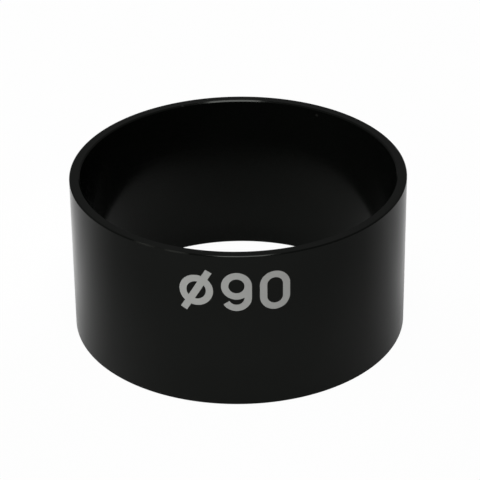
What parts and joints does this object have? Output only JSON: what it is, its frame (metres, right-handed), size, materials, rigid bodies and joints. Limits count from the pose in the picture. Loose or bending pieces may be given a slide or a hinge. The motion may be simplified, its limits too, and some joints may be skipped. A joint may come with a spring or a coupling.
{
  "type": "piston ring compressor",
  "caption": "One-piece tapered sleeve that closes piston rings as the piston is pushed through it into an engine cylinder; black anodised aluminium.",
  "frame": {"origin": "on the sleeve's axis, in the deck face that it stands on", "axes": "+Z along the axis from the deck face to the rim, -Y towards the side that carries the bore mark, +X to the right seen from that side"},
  "size_m": [0.1014, 0.1014, 0.0502],
  "materials": {
    "black_anodise": "black anodised, satin, over a fine turned surface",
    "laser_mark": "silver grey laser marking through the black"
  },
  "bodies": {
    "root": {"tapered_sleeve": "black_anodise"}
  },
  "joints": []
}
